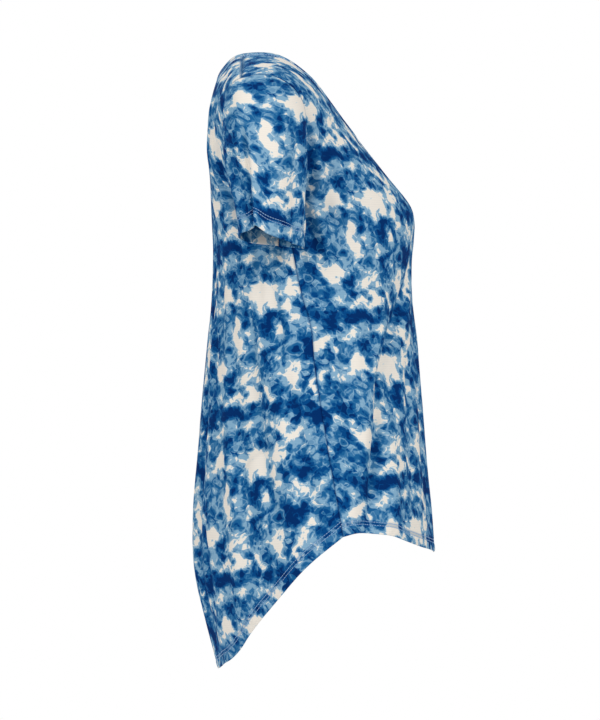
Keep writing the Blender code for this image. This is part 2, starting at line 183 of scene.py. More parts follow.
# Smaller creases: path, width and depth. Each runs through its places (across, down), as a trough
# (negative) with a soft lip on the side away from the side seam, or as a ridge (positive).
CREASES = {
    ("front", -1): (
        (((0.1, 0.235), (0.23, 0.273), (0.36, 0.313), (0.495, 0.35), (0.605, 0.39), (0.635, 0.436),
          (0.723, 0.499), (0.81, 0.556)), 0.0085, -0.005),
        (((0.46, 0.3), (0.62, 0.36), (0.72, 0.43), (0.82, 0.52)), 0.014, 0.0031),
        (((0.965, 0.095), (0.935, 0.15), (0.905, 0.2), (0.89, 0.25)), 0.0065, -0.0039),
        (((0.9, 0.11), (0.865, 0.16), (0.84, 0.2), (0.83, 0.26)), 0.008, 0.0031),
        (((0.985, 0.19), (0.955, 0.25), (0.945, 0.31)), 0.006, -0.0034),
        (((0.97, 0.27), (0.95, 0.32), (0.955, 0.39)), 0.008, 0.0028),
        (((0.8, 0.29), (0.83, 0.38), (0.89, 0.48)), 0.012, -0.0031),
        (((0.54, 0.4), (0.57, 0.48), (0.63, 0.57)), 0.014, 0.0031),
        (((0.3, 0.34), (0.36, 0.43), (0.42, 0.55)), 0.013, -0.0034),
        (((0.11, 0.29), (0.15, 0.42), (0.18, 0.58)), 0.015, -0.0034),
        (((0.95, 0.12), (0.76, 0.16), (0.56, 0.188)), 0.009, -0.0028),
        (((0.96, 0.15), (0.8, 0.19), (0.62, 0.228)), 0.01, -0.0034),
    ),
    ("front", 1): (
        (((0.14, 0.24), (0.3, 0.3), (0.43, 0.36), (0.52, 0.43), (0.64, 0.55)), 0.0095, -0.0045),
        (((0.4, 0.29), (0.56, 0.37), (0.66, 0.45), (0.72, 0.54)), 0.014, 0.0031),
        (((0.965, 0.1), (0.93, 0.15), (0.895, 0.2), (0.88, 0.26)), 0.007, -0.0036),
        (((0.895, 0.11), (0.86, 0.16), (0.83, 0.21), (0.82, 0.27)), 0.0085, 0.0028),
        (((0.98, 0.2), (0.94, 0.27), (0.93, 0.35)), 0.008, -0.0031),
        (((0.82, 0.28), (0.85, 0.38), (0.9, 0.49)), 0.012, -0.0031),
        (((0.22, 0.35), (0.27, 0.45), (0.33, 0.57)), 0.014, 0.0031),
        (((0.95, 0.125), (0.76, 0.165), (0.58, 0.195)), 0.009, -0.0028),
        (((0.96, 0.155), (0.79, 0.2), (0.6, 0.24)), 0.01, -0.0034),
    ),
    ("back", -1): (
        (((0.25, 0.19), (0.238, 0.267), (0.325, 0.368), (0.238, 0.457), (0.278, 0.546), (0.315, 0.627),
          (0.22, 0.715)), 0.0075, -0.0036),
        (((0.13, 0.24), (0.15, 0.4), (0.11, 0.55), (0.13, 0.71)), 0.009, -0.0036),
        (((0.46, 0.23), (0.44, 0.4), (0.5, 0.55), (0.48, 0.67)), 0.012, 0.0036),
        (((0.62, 0.29), (0.65, 0.42), (0.73, 0.57)), 0.011, -0.0036),
        (((0.69, 0.455), (0.575, 0.472), (0.5, 0.492)), 0.008, -0.0048),
        (((0.95, 0.1), (0.8, 0.15), (0.66, 0.195), (0.54, 0.225)), 0.0095, -0.0034),
        (((0.97, 0.135), (0.83, 0.205), (0.72, 0.3)), 0.01, -0.0036),
        (((0.97, 0.16), (0.9, 0.26), (0.86, 0.37)), 0.009, 0.0034),
        (((0.84, 0.37), (0.88, 0.47), (0.9, 0.57)), 0.011, -0.0034),
        (((0.82, 0.05), (0.76, 0.12), (0.66, 0.2), (0.6, 0.28)), 0.008, -0.0031),
        (((0.66, 0.05), (0.6, 0.13), (0.53, 0.22)), 0.008, 0.0025),
    ),
    ("back", 1): (
        (((0.3, 0.22), (0.28, 0.34), (0.35, 0.45), (0.33, 0.56), (0.37, 0.69)), 0.0085, -0.0036),
        (((0.12, 0.26), (0.1, 0.4), (0.15, 0.56), (0.11, 0.71)), 0.0095, -0.0036),
        (((0.52, 0.25), (0.54, 0.4), (0.58, 0.52), (0.57, 0.65)), 0.012, 0.0036),
        (((0.68, 0.3), (0.7, 0.43), (0.78, 0.56)), 0.011, -0.0036),
        (((0.95, 0.105), (0.78, 0.16), (0.6, 0.215)), 0.0095, -0.0034),
        (((0.97, 0.14), (0.81, 0.215), (0.7, 0.32)), 0.01, -0.0036),
        (((0.96, 0.17), (0.88, 0.28), (0.85, 0.4)), 0.009, 0.0034),
        (((0.79, 0.06), (0.73, 0.13), (0.64, 0.21)), 0.008, -0.0031),
    ),
}
CREASE_STEEPNESS = 1.6
CREASE_FADE = 0.22
CREASE_START = 0.15
LIP = {"height": 0.45, "steepness": 1.1, "place": 1.9}

# The sleeves' large folds as in the solids, and how soon they rise to the hem. Columns: around,
# width, depth.
SLEEVE_FOLD_RISE = 1.5
SLEEVE_FOLDS = {
    -1: (
        (0.61, 0.085, -0.005),
        (0.35, 0.12, -0.002),
    ),
    1: (
        (0.64, 0.09, -0.004),
        (0.3, 0.11, -0.0025),
    ),
}
# Their smaller creases, through places around and down (0 at the armhole, 1 at the hem).
SLEEVE_CREASES = {
    -1: (
        (((0.535, 0.4), (0.548, 0.6), (0.575, 0.8), (0.602, 1.04)), 0.0056, -0.0052),
        (((0.7, 0.3), (0.69, 0.6), (0.68, 1.05)), 0.009, 0.002),
        (((0.95, 0.05), (0.86, 0.3), (0.79, 0.6), (0.76, 0.95)), 0.0095, -0.0034),
        (((0.06, 0.05), (0.15, 0.3), (0.21, 0.6), (0.24, 0.95)), 0.009, -0.0038),
        (((0.13, 0.08), (0.19, 0.4), (0.205, 0.95)), 0.008, 0.0022),
        (((0.4, 0.25), (0.42, 0.6), (0.43, 1.05)), 0.011, 0.0014),
        (((0.33, 0.35), (0.35, 0.7), (0.355, 1.05)), 0.009, -0.0018),
        (((0.78, 0.1), (0.74, 0.4), (0.73, 0.8)), 0.008, -0.002),
    ),
    1: (
        (((0.56, 0.35), (0.58, 0.65), (0.63, 1.05)), 0.0065, -0.003),
        (((0.95, 0.05), (0.87, 0.3), (0.8, 0.6), (0.78, 0.95)), 0.0095, -0.0026),
        (((0.055, 0.05), (0.14, 0.3), (0.2, 0.6), (0.23, 0.95)), 0.0095, -0.0028),
        (((0.14, 0.1), (0.185, 0.4), (0.195, 0.95)), 0.008, 0.0022),
        (((0.39, 0.25), (0.42, 0.6), (0.44, 1.05)), 0.011, 0.0014),
        (((0.79, 0.1), (0.75, 0.4), (0.73, 0.8)), 0.008, -0.002),
    ),
}

# How finely each piece is made: steps across a half panel, down the yoke and the tube, and so on.
ACROSS_STEPS = 96
YOKE_STEPS = 62
TUBE_STEPS = 112
SLEEVE_STEPS = 40
NECK_STEPS = {"front": 34, "back": 24}
FINE_STEPS = 400
SECTION_STEPS = 24
FOLD_STEPS = 5
TURNED_STEPS = 5
TURNED_START = 0.003
HEM_LINE_STEPS = 200
NECK_LINE_STEPS = 90
NECK_SEAM_STEPS = 160
HALF_NECK_STEPS = 60
WELD = 0.00005
# Any distance to a seam or hem that is too far off to matter, and the share of rows surely outside.
FAR = 1.0
OUTSIDE_SHARE = 0.7
# Distances of the fine columns beside the neck and beside the armhole and side seam, and of the
# sleeves' first rows, as shares of their length.
NECK_SIDE = np.array([0.0, 0.0012, 0.0022, 0.0034, 0.0046, 0.0058, 0.0072, 0.0090])
SEAM_SIDE = np.array([0.0046, 0.0030, 0.0018, 0.0009, 0.0])
SLEEVE_TOP = np.array([0.0, 0.006, 0.014, 0.026])
# The neckband's rows, from its seam (0) to its free edge (1), and those that are turned down inside.
BAND_ROWS = np.array([0.0, 0.08, 0.18, 0.30, 0.44, 0.58, 0.72, 0.86, 1.0])
BAND_TURNED = (0.85, 0.6, 0.35, 0.1)
# Distances of the fine rows of a hem: above the needles, around them, and from below them to the edge.
ROWS_ABOVE = np.array([0.0190, 0.0130, 0.0080, 0.0042, 0.0020])
NEEDLE_MARGIN = 0.0009
NEEDLE_ROWS = 7
BELOW_NEEDLES = 0.0022
ROWS_BELOW = 4
EDGE_ROWS = (0.0016, 0.0005, 0.0)

# Hems: how wide they are turned up, and how far above the edge each needle runs.
HEMS = {
    "front": {"turned": 0.0140, "needles": (0.0128, 0.0092)},
    "back": {"turned": 0.0140, "needles": (0.0126, 0.0092)},
    "sleeve": {"turned": 0.0205, "needles": (0.0190, 0.0154)},
    "neck": {"needles": (0.0022, 0.0058)},
}
TURN_RADIUS = 0.0009
STITCH_LENGTH = 0.0031
STITCH_GAP = 0.0001
STITCH_ENDS = (0.1, 0.9)
STITCH_LIFT = 0.3
THREAD_RADIUS = 0.00044
CHANNEL_DEPTH = 0.00045
CHANNEL_WIDTH = 0.0009
# The painted shade between the needles: how wide it starts and ends, and how far it goes past the last one.
SHADE_START = 0.0008
SHADE_END = 0.0012
SHADE_PAST = 0.0016
# Slanting ridges below the needles, and the gathers along them.
DRAG_DEPTH = 0.0005
DRAG_PITCH = 0.0105
DRAG_SLANT = 0.8
DRAG_WANDER = (1.3, 57)
PUCKER = 0.4
PUCKER_TURNS = 950
# How deep and wide a seam pulls the cloth in, how wide its painted shadow is, and how dark the painted
# shadows are.
SEAM_DEPTH = 0.0009
SEAM_WIDTH = 0.0022
SEAM_LINE = 0.0012
HEM_SHADE = 0.55
SHOULDER_SHADE = 0.60
BAND_SHADE = 0.9
# The neckband: how deep the groove of its seam is and what share of the band it takes, and its swell.
NECK_GROOVE = 0.0008
BAND_GROOVE_WIDTH = 0.09
BAND_SWELL = 0.0006
BAND_SWELL_RISE = 1.3

# The print's repeat down and across, and the place on it that each piece was cut from.
REPEAT = 0.193
REPEAT_ACROSS = 0.230
CUT_FROM = {"front": (0.250, 0.021), "back": (-0.051, 0.101), "sleeve_right": (0.070, 0.191),
            "sleeve_left": (0.150, 0.060), "neckband": (0.100, 0.070)}
GROUND = 0.335
BLOT_STRENGTH = 0.85
BLOT_STEEPNESS = 0.9
# The blots of one repeat. Columns: place across and down, half width, half height, lean in degrees,
# and how much paler (positive) or deeper (negative) they are than the ground.
BLOTS = (
    (0.064, 0.021, 0.018, 0.006, 6, 0.58),
    (0.092, 0.019, 0.013, 0.005, -35, 0.5),
    (0.128, 0.023, 0.017, 0.013, 0, 0.62),
    (0.158, 0.013, 0.014, 0.0055, -20, 0.48),
    (0.122, 0.001, 0.013, 0.0045, 60, 0.45),
    (0.095, 0.029, 0.013, 0.009, 0, 0.2),
    (0.084, 0.062, 0.021, 0.0062, 72, 0.62),
    (0.109, 0.063, 0.009, 0.0065, 0, 0.42),
    (0.103, 0.052, 0.003, 0.007, 0, 0.3),
    (0.152, 0.064, 0.028, 0.012, 112, 0.27),
    (0.194, 0.054, 0.022, 0.0085, 35, 0.5),
    (0.132, 0.043, 0.014, 0.0085, -10, -0.3),
    (0.203, 0.027, 0.018, 0.0085, 0, -0.22),
    (0.104, 0.09, 0.016, 0.015, 0, 0.34),
    (0.104, 0.09, 0.01, 0.0095, 0, -0.5),
    (0.174, 0.083, 0.017, 0.013, 60, -0.18),
    (0.058, 0.104, 0.017, 0.0065, -18, 0.6),
    (0.049, 0.115, 0.009, 0.0065, 60, 0.45),
    (0.047, 0.092, 0.01, 0.0035, 75, 0.38),
    (0.08, 0.111, 0.011, 0.009, 0, -0.3),
    (0.053, 0.135, 0.012, 0.008, 60, -0.28),
    (0.107, 0.123, 0.013, 0.008, 100, 0.6),
    (0.103, 0.138, 0.008, 0.005, 0, 0.4),
    (0.13, 0.128, 0.013, 0.0055, 30, 0.46),
    (0.085, 0.123, 0.009, 0.0035, 0, 0.36),
    (0.066, 0.141, 0.013, 0.0085, 0, 0.26),
    (0.202, 0.11, 0.025, 0.008, 98, 0.5),
    (0.165, 0.12, 0.022, 0.01, 80, 0.22),
    (0.09, 0.158, 0.042, 0.0095, -14, -0.28),
    (0.142, 0.147, 0.013, 0.008, 40, -0.22),
    (0.071, 0.174, 0.018, 0.0045, -22, 0.34),
    (0.107, 0.169, 0.007, 0.007, 0, 0.46),
    (0.143, 0.166, 0.018, 0.008, 0, 0.26),
    (0.03, 0.19, 0.017, 0.006, -25, 0.36),
    (0.163, 0.179, 0.012, 0.0065, 10, 0.44),
    (0.186, 0.175, 0.01, 0.0095, 0, 0.4),
    (0.019, 0.036, 0.018, 0.0045, 85, 0.44),
    (0.026, 0.07, 0.02, 0.015, 40, -0.12),
    (0.025, 0.15, 0.022, 0.014, 20, -0.14),
    (0.088, 0.19, 0.026, 0.007, -10, -0.2),
    (0.218, 0.16, 0.016, 0.01, 0, -0.14),
)
# How the print sways across and down. Columns: reach, turns across and down in a repeat, start.
SWAY_ACROSS = ((0.004, 2, 4, 0), (0.003, -3, 7, 1))
SWAY_DOWN = ((0.003, 6, 1, 2), (0.0025, 9, -4, 0))
# Round eyes of the print: place across and down, and radius.
EYES = (
    (0.107, 0.09, 0.0125),
    (0.166, 0.084, 0.011),
    (0.073, 0.081, 0.0085),
    (0.027, 0.112, 0.0065),
    (0.205, 0.143, 0.008),
)
# How pale an eye is from its middle outwards, and how far it covers the print.
EYE_TONES = ((0.0, 0.06), (0.20, 0.17), (0.28, 0.30), (0.58, 0.37), (0.68, 0.47), (0.86, 0.54),
             (0.97, 0.42))
EYE_COVER = ((0.0, 0.85), (0.80, 0.80), (1.0, 0.0))
EYE_RAGS = 1.7
NO_EYE = 9.0
# Noises that break up the print and roughen the yarn. Columns: scale, detail, roughness, distortion.
SWIRLS = (40.0, 1.0, 0.5, 0.7)
RAGS = (82.0, 1.0, 0.5, 0.6)
SPECKS = (330.0, 1.0, 0.5, 0.0)
UNEVEN = (160.0, 3.0, 0.7, 0.0)
FUZZ = (1500.0, 2.0, 0.6, 0.0)
PLY = (2600.0, 1.0, 0.5, 0.0)
# How far the swirls, the rags, the specks and the flat patches shift the dye.
BREAK_UP = (0.80, 0.80, 0.05, 0.24)
PATCH_SIZE = 0.0085
PATCH_SHAKE = (110.0, 0.010)
PATCH_RIM = 0.08
RIM_LIFT = 0.055
OUTLINE_TURNS = 36.0
OUTLINE_LIFT = 0.030
UNEVEN_SHARE = 0.012
# Keeps the places that the noises read away from 0, where they are symmetric.
NOISE_SHIFT = 5.0
DYE_STEPS = (0.17, 0.275, 0.355, 0.42, 0.475, 0.615, 0.650)
DYE_BLEED = 0.004

# Dyes, from the deepest to the bare cloth.
DYES = {
    "navy": (0.0001, 0.026, 0.134),
    "cobalt": (0.0008, 0.061, 0.225),
    "azure": (0.011, 0.112, 0.290),
    "cornflower": (0.040, 0.172, 0.360),
    "sky": (0.130, 0.285, 0.455),
    "haze": (0.225, 0.400, 0.555),
    "mist": (0.560, 0.665, 0.700),
    "cream": (0.830, 0.775, 0.695),
}
WRONG_SIDE = (0.66, 0.72, 0.78)
WRONG_SIDE_SHARE = 0.52
# Painted shade: the colour multiplied in where shadow falls in the needle channels and along the seams, and
# how strongly it darkens.
SEAM_SHADOW_TINT = (0.19, 0.37, 0.58)
SEAM_SHADOW_DARKNESS = 0.85
# The knit: its ribs down and across, and its uneven yarn.
WALE = 0.0008
COURSE = 0.0006
COURSE_SHARE = 0.3
SLUB = 0.0027
SLUB_SWAY = 9.0
SLUB_TINT = (0.955, 0.96, 0.97)
KNIT_SURFACE = {"Roughness": 0.88, "Specular IOR Level": 0.03, "Sheen Weight": 0.004,
                "Sheen Roughness": 0.5}
KNIT_BUMP = (0.35, 0.00012)
THREAD = (0.30, 0.52, 0.82)
THREAD_SHADED = (0.21, 0.364, 0.574)
THREAD_ROUGHNESS = 0.55
THREAD_BUMP = (0.4, 0.0001)

FLOOR_Z = -1.0
FLOOR_CLEAR = 0.45
FLOOR_REACH = 1.25
FLOOR_PAINT = (0.86, 0.86, 0.87)
FLOOR_ROUGHNESS = 0.7
# Columns: name, place, size, power.
LIGHTS = (
    ("key", (-2.7, -2.0, 1.3), 1.6, 42),
    ("fill", (-2.8, 1.8, 0.9), 1.8, 34),
    ("far", (2.6, 1.2, 1.6), 1.8, 30),
)
LIGHT_AIM = (0, -0.08, -0.35)
ROOM_LIGHT = 0.62
CAMERA_PLACE = (-4.0, -0.0696, -0.3612)
CAMERA_SENSOR = 36.0
CAMERA_LENS = 166.67


def smooth_table(rows, corners=()):
    """A curve through the rows (key, values...) of a table, smooth but at the corner keys."""
    keys = np.array([row[0] for row in rows], float)
    values = np.array([row[1:] for row in rows], float)
    gaps = np.diff(keys)[:, None]
    lifts = np.diff(values, axis=0) / gaps
    inner = (lifts[:-1] * gaps[1:] + lifts[1:] * gaps[:-1]) / (gaps[:-1] + gaps[1:])
    at_corner = np.isin(keys, corners)
    leaving = np.where(at_corner[:-1, None], lifts, np.concatenate([lifts[:1], inner]))
    arriving = np.where(at_corner[1:, None], lifts, np.concatenate([inner, lifts[-1:]]))

    def read(key):
        key = np.clip(np.asarray(key, float), keys[0], keys[-1])
        row = np.clip(np.searchsorted(keys, key, side="right") - 1, 0, len(keys) - 2)
        gap = gaps[row]
        t = (key - keys[row])[..., None] / gap
        start = values[row] * (1 + 2 * t) + leaving[row] * gap * t
        end = values[row + 1] * (3 - 2 * t) - arriving[row] * gap * (1 - t)
        return start * (1 - t) ** 2 + end * t ** 2

    return read


side_seam = smooth_table(SIDE_SEAM)
hem_line = {panel: smooth_table([(-across, down) for across, down in rows[:0:-1]] + list(rows))
            for panel, rows in HEM_LINES.items()}
sleeve_hem = smooth_table(SLEEVE_HEM)


def edge_rows():
    """The line of both armholes and the side seam, from back hem to front hem."""
    rows = [(-down, x, f, -down) for down, x, f in reversed(SIDE_SEAM)]
    rows += [(row[0],) + row[3:6] for row in YOKE]
    return rows + [(down, x, f, -down) for down, x, f in SIDE_SEAM]


def heading(reach, dip, yaw):
    """A step of this reach to the side, turned forward by the yaw and down by the dip, in degrees."""
    dip = math.radians(dip)
    yaw = math.radians(yaw)
    return (reach * math.cos(dip) * math.cos(yaw), reach * math.cos(dip) * math.sin(yaw),
            -reach * math.sin(dip))


def yoke_section(row):
    """Run, middle point, and how the section leaves the middle and arrives at the armhole."""
    c = dict(zip(YOKE_COLUMNS, row))
    yaw = -c["yaw"] if c["run"] > 0 else c["yaw"]
    return ((c["run"], 0.0, c["mid_f"], c["mid_z"]) + heading(c["mid_reach"], c["mid_dip"], 0)
            + heading(c["edge_reach"], c["dip"], yaw))


def tube_section(row, way):
    """The same for a level section between the centre line and the side seam."""
    c = dict(zip(TUBE_COLUMNS, row))
    side_x, side_f = side_seam(c["down"])
    leave = (side_x * c["mid_fullness"], 0.0, 0.0)
    arrive = (0.0, (side_f - c["mid_f"]) * c["side_fullness"], 0.0)
    return (way * c["down"], 0.0, c["mid_f"], -c["down"]) + leave + arrive


edge_line = smooth_table(edge_rows(), corners=(-UNDERARM, UNDERARM))
soft_edge = smooth_table(edge_rows())
sections = smooth_table([tube_section(row, -1) for row in reversed(BACK_TUBE)]
                        + [yoke_section(row) for row in YOKE]
                        + [tube_section(row, 1) for row in FRONT_TUBE])


def smooth_form(across, run):
    """The unfolded form on the wearer's left side, as x, f, z."""
    across, run = np.broadcast_arrays(np.asarray(across, float), np.asarray(run, float))
    middle, leave, arrive = np.split(sections(run), 3, axis=-1)
    edge = soft_edge(run)
    t = across[..., None]
    near_middle = middle * (1 - t) + (middle + leave) * 3 * t
    near_edge = (edge - arrive) * 3 * (1 - t) + edge * t
    corner = (edge_line(run) - edge) * t ** CORNER_POWER
    return near_middle * (1 - t) ** 2 + near_edge * t ** 2 + corner


def unit(vectors):
    return vectors / np.linalg.norm(vectors, axis=-1, keepdims=True)


def flip(side):
    """Carries places from the wearer's left to the given side."""
    return np.array([side, 1.0, 1.0])


def form_normal(across, run, side=1):
    """Outward direction of the unfolded form."""
    outer = smooth_form(np.minimum(across + FORM_STEP, 1), run)
    sideways = outer - smooth_form(np.maximum(across - FORM_STEP, 0), run)
    along = smooth_form(across, run + FORM_STEP) - smooth_form(across, run - FORM_STEP)
    return unit(np.cross(sideways, along)) * flip(side)


def ease(value):
    """0 to 1 with a soft start and end."""
    value = np.clip(value, 0, 1)
    return value * value * (3 - 2 * value)


def bell(off):
    """1 in the middle, 0 from one width away."""
    return 0.5 + 0.5 * np.cos(math.pi * np.clip(np.abs(off), 0, 1))


def by_half_panel(table, across, run, side):
    """Each row of a table, with the places across as seen from its half panel, past the side seam too."""
    for (panel, half), rows in table.items():
        on_this_panel = (run >= 0) == (panel == "front")
        place = side * half * np.where(on_this_panel, across, 2 - across)
        for row in rows:
            yield place, row


def fold_depth(across, run, side):
    """How far the large folds stand out of the form."""
    total = np.zeros(np.broadcast(across, run).shape)
    down = np.abs(run)
    for place, row in by_half_panel(FOLDS, across, run, side):
        fold = dict(zip(FOLD_COLUMNS, row))
        way = (down - fold["top"]) / (fold["bottom"] - fold["top"])
        line = fold["across_top"] + (fold["across_bottom"] - fold["across_top"]) * np.clip(way, 0, 1)
        off = (place - line) * HALF_GIRTH / fold["width"]
        fade = ease((down - fold["top"]) / FOLD_FADE) * ease((fold["bottom"] - down) / FOLD_FADE + 1)
        total += fold["depth"] * bell(off) * fade
    return total


def path_depth(place, down, path, stretch, width, depth):
    """How far a crease stands out. Its path is read as a place across for each distance down."""
    path = sorted(path, key=lambda point: point[1])
    top, bottom = path[0][1], path[-1][1]
    line = smooth_table([(point[1], point[0] * stretch) for point in path])
    slope = (line(down + FORM_STEP) - line(down - FORM_STEP))[..., 0] / (2 * FORM_STEP)
    off = (line(down)[..., 0] - place) / np.sqrt(1 + slope ** 2) / width
    ends = CREASE_FADE * (bottom - top)
    fade = ease((down - top) / ends + CREASE_START) * ease((bottom - down) / ends + CREASE_START)
    lip = LIP["height"] * np.exp(-LIP["steepness"] * (off - LIP["place"]) ** 2)
    return depth * (np.exp(-CREASE_STEEPNESS * off ** 2) - lip) * fade


def crease_depth(across, run, side):
    """How far the smaller creases stand out of the form."""
    across, run = np.broadcast_arrays(across, run)
    total = np.zeros(across.shape)
    down = np.abs(run)
    for place, (path, width, depth) in by_half_panel(CREASES, across, run, side):
        total += path_depth(place * HALF_GIRTH, down, path, HALF_GIRTH, width, depth)
    return total


def form_point(across, run, side, lift=0.0):
    """The outer face of the jersey, as x, f, z."""
    depth = fold_depth(across, run, side) + crease_depth(across, run, side) + lift
    place = smooth_form(across, run) + form_normal(across, run) * depth[..., None]
    sideways = np.abs(place[..., 0])
    ridge = np.interp(run, *NAPE_RIDGE) * (np.sqrt(sideways ** 2 + NAPE_WIDTH ** 2) - sideways)
    place[..., 2] -= ridge
    return place * flip(side)


def evenly(points, *columns, count):
    """Read the columns at evenly spaced distances along a line of points."""
    distance = distances(points, 0)
    wanted = np.linspace(0, distance[-1], count + 1)
    return [np.interp(wanted, distance, column) for column in columns]


def neck_line(oval, panel, count):
    """across and run of a neck oval on one half panel, from the shoulder seam to the centre."""
    way = WAYS[panel]

    def inside(across, run):
        place = smooth_form(across, run)
        off_f = place[..., 1] - NECK_CENTRE_F
        depth = np.where(off_f > 0, oval["front"], oval["back"])
        sideways = (place[..., 0] / oval["half_width"]) ** NECK_ROUNDNESS
        return sideways + (np.abs(off_f) / depth) ** NECK_ROUNDNESS < 1

    def last_inside(test, low, high):
        for _ in range(BISECTIONS):
            middle = (low + high) / 2
            within = test(middle)
            low = np.where(within, middle, low)
            high = np.where(within, high, middle)
        return low

    end = last_inside(lambda run: inside(0.0, way * run), 0.0, UNDERARM)
    run = way * end * np.sin(np.linspace(0, math.pi / 2, FINE_STEPS))
    across = last_inside(lambda across: inside(across, run), np.zeros_like(run), np.ones_like(run))
    across[-1] = 0.0
    return evenly(smooth_form(across, run), across, run, count=count)


def armhole_runs(panel):
    """Runs of evenly spaced points on an armhole, from the shoulder to the underarm."""
    run = WAYS[panel] * np.linspace(0, UNDERARM, FINE_STEPS)
    return evenly(smooth_form(1.0, run), run, count=YOKE_STEPS)[0]


def distances(points, axis):
    """Running distance along one axis of a grid of points, from its first row or column."""
    steps = np.linalg.norm(np.diff(points, axis=axis), axis=-1)
    start = np.zeros_like(np.take(steps, [0], axis=axis))
    return np.concatenate([start, np.cumsum(steps, axis=axis)], axis=axis)


def near(distance, width):
    """1 at a seam, fading to 0 a few widths away."""
    return np.exp(-(distance / width) ** 2)


def channel(distance, needles):
    """Depth of the small channels that the needles pull into the cloth, and the painted shade between them.
    """
    depth = -CHANNEL_DEPTH * sum(near(distance - needle, CHANNEL_WIDTH) for needle in needles)
    start = (distance - min(needles) + SHADE_START) / SHADE_START
    end = (max(needles) + SHADE_PAST - distance) / SHADE_END
    return depth, ease(start) * ease(end)


def hem_edge(panel, share):
    """How far down the edge of a hem is, with its waver, and how far down a step square to it leads."""
    waver = np.sin(2 * math.pi * WAVER_TURNS * share) * np.sin(math.pi * share)
    hem_run = hem_line[panel](share)[:, 0] + WAVER[panel] * waver
    edge = smooth_form(share, WAYS[panel] * hem_run)
    slope = np.gradient(hem_run) / np.linalg.norm(np.gradient(edge[:, :2], axis=0), axis=1)
    return hem_run, np.sqrt(1 + slope ** 2)


def hem_relief(along, above, hem):
    """How far a hem stands out between its needle channels and its edge, and the painted shade of the
    channels.
    """
    depth, shade = channel(above, hem["needles"])
    pucker = 1 + PUCKER * np.sin(along * PUCKER_TURNS)
    top = min(hem["needles"])
    share = np.clip(above / top, 0, 1)
    reach, turns = DRAG_WANDER
    place = 2 * math.pi * (along + above * DRAG_SLANT) / DRAG_PITCH + reach * np.sin(along * turns)
    drag = DRAG_DEPTH * np.sin(place) * np.sin(math.pi * share) * (above < top)
    return depth * pucker + drag, shade


def hem_rows(hem):
    """Distances above the hem of the fine rows near it, from the top down to the edge."""
    low, high = min(hem["needles"]), max(hem["needles"])
    between = np.linspace(high + NEEDLE_MARGIN, low - NEEDLE_MARGIN, NEEDLE_ROWS)
    below = np.linspace(low - BELOW_NEEDLES, EDGE_ROWS[0], ROWS_BELOW)
    return np.concatenate([high + ROWS_ABOVE, between, below, EDGE_ROWS[1:]])


def rolled(last, inward, onward):
    """Rows that carry the cloth round a fold at its last row, until it runs back inside."""
    angles = [math.pi * step / FOLD_STEPS for step in range(1, FOLD_STEPS + 1)]
    return [last + (inward * (1 - math.cos(angle)) + onward * math.sin(angle)) * TURN_RADIUS
            for angle in angles]


def turned_rows(last, above, inward, turned):
    """Rows that turn the cloth round the fold at its edge and up inside it.

    last: points on the edge. above and inward: the points a given distance above it, and the
    directions that lead inside from them.
    """
    rows = rolled(last, inward(0.0), unit(last - above(FORM_STEP)))
    for distance in np.linspace(TURNED_START, turned, TURNED_STEPS):
        rows.append(above(distance) + inward(distance) * 2 * TURN_RADIUS)
    return rows


def with_turning(patch, turned):
    """Add the turned-up rows to a patch, with the print running on round the fold."""
    count = len(turned)
    patch["points"] = np.concatenate([patch["points"], np.array(turned)])
    patch["u"] = np.concatenate([patch["u"], np.repeat(patch["u"][-1:], count, axis=0)])
    further = distances(patch["points"][-count - 1:], 0)[1:]
    patch["v"] = np.concatenate([patch["v"], patch["v"][-1:] + further])
    patch["shade"] = np.concatenate([patch["shade"], np.zeros_like(further)])
    return patch


def print_places(across, run, side):
    """Where each point lies on the flat printed cloth, in metres."""
    way = np.where(run < 0, -1, 1)
    ways = np.linspace(0, 1, SECTION_STEPS + 1)[:, None, None]
    from_centre = distances(smooth_form(across * ways, np.broadcast_to(run, across.shape)), 0)[-1]
    whole = distances(smooth_form(ways[:, :, 0], run[:, -1][None, :]), 0)[-1][:, None]
    at_underarm = distances(smooth_form(ways[:, 0], way[0, 0] * UNDERARM), 0)[-1]
    in_yoke = np.abs(run[:, -1:]) < UNDERARM
    u = from_centre * np.where(in_yoke, 0.5 + 0.5 * at_underarm / whole, 1.0)
    columns = smooth_form(across, way * UNDERARM + (run - way * UNDERARM) * ways)
    v = distances(columns, 0)[-1] * np.where(np.abs(run) < UNDERARM, -1, 1)
    return way * side * u, v


def panel_grid(panel):
    """across and run of a half panel's rows, down to its hem, and the hem's edge and slant."""
    way = WAYS[panel]
    neck_steps = NECK_STEPS[panel]
    neck_across, neck_run = neck_line(NECK_SEAM, panel, neck_steps)
    beside_neck = np.abs(neck_run[-1]) + NECK_SIDE[1:-1]
    chest = np.linspace(beside_neck[-1], UNDERARM, YOKE_STEPS - neck_steps - len(beside_neck) + 1)[1:]
    chest = way * np.concatenate([beside_neck, chest])
    inner_across = np.concatenate([neck_across, np.zeros(len(chest))])[:, None]
    inner_run = np.concatenate([neck_run, chest])[:, None]
    outer_run = armhole_runs(panel)[:, None]

    width = np.linalg.norm(smooth_form(1.0, outer_run) - smooth_form(inner_across, inner_run), axis=-1)
    start = NECK_SIDE[None, :] / width
    plain = np.linspace(0, 1, ACROSS_STEPS - len(NECK_SIDE) - len(SEAM_SIDE) + 3)[None, 1:-1]
    end = 1 - SEAM_SIDE[None, :] / width
    share = np.concatenate([start, start[:, -1:] + (end[:, :1] - start[:, -1:]) * plain, end], axis=1)
    across = inner_across + (1 - inner_across) * share
    run = inner_run + (outer_run - inner_run) * share

    share = share[-1]
    hem_run, slant = hem_edge(panel, share)
    near_hem = hem_run - hem_rows(HEMS[panel])[:, None] * slant
    body = UNDERARM + (near_hem[:1] - UNDERARM) * np.linspace(0, 1, TUBE_STEPS + 1)[1:-1, None]
    tube = np.concatenate([body, near_hem])
    across = np.concatenate([across, np.repeat(share[None], len(tube), axis=0)])
    run = np.concatenate([run, way * tube])
    return across, run, hem_run, slant


